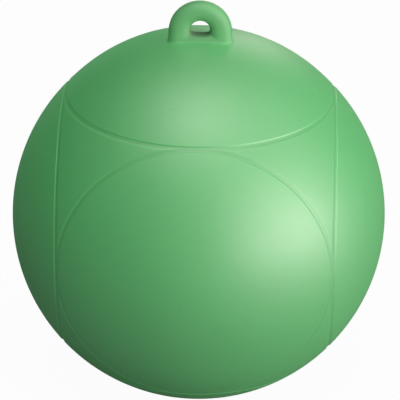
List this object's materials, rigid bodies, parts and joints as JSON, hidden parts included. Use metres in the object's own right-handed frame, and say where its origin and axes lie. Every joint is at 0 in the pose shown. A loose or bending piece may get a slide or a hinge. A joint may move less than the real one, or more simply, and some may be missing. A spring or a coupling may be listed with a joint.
{
  "type": "inflatable slalom buoy",
  "caption": "Hollow vinyl ball with ring grooves round its panels, a solid rope eye on top and a screw-plug air valve; marks a water-ski course while tied to its line.",
  "frame": {"origin": "centre of the round ball, where the waterline passes when the buoy is drawn half under by its line", "axes": "+Z out through the rope eye, +Y out through the air valve, so the eye's hole lies along Y"},
  "size_m": [0.2286, 0.228, 0.2537],
  "materials": {
    "ball_vinyl": "satin moulded vinyl, green",
    "valve_plastic": "satin moulded plastic, black",
    "valve_rubber": "matt black rubber"
  },
  "bodies": {
    "buoy": {"ball_shell": "ball_vinyl", "rope_eye": "ball_vinyl", "valve_seat": "valve_plastic"},
    "seal": {"valve_washer": "valve_rubber"},
    "plug": {"valve_plug": "valve_plastic"}
  },
  "joints": [
    {"name": "plug_lift", "type": "slide", "parent": "buoy", "child": "seal", "axis": [0, 1, 0], "range_m": [0, 0.012]},
    {"name": "plug_turn", "type": "hinge", "parent": "seal", "child": "plug", "pos_m": [0, 0.113, 0], "axis": [0, 1, 0], "range_deg": [0, 1440.01]}
  ],
  "couplings": [
    {"joint": "plug_turn", "follows": "plug_lift", "rad_per_m": 2094.4}
  ]
}
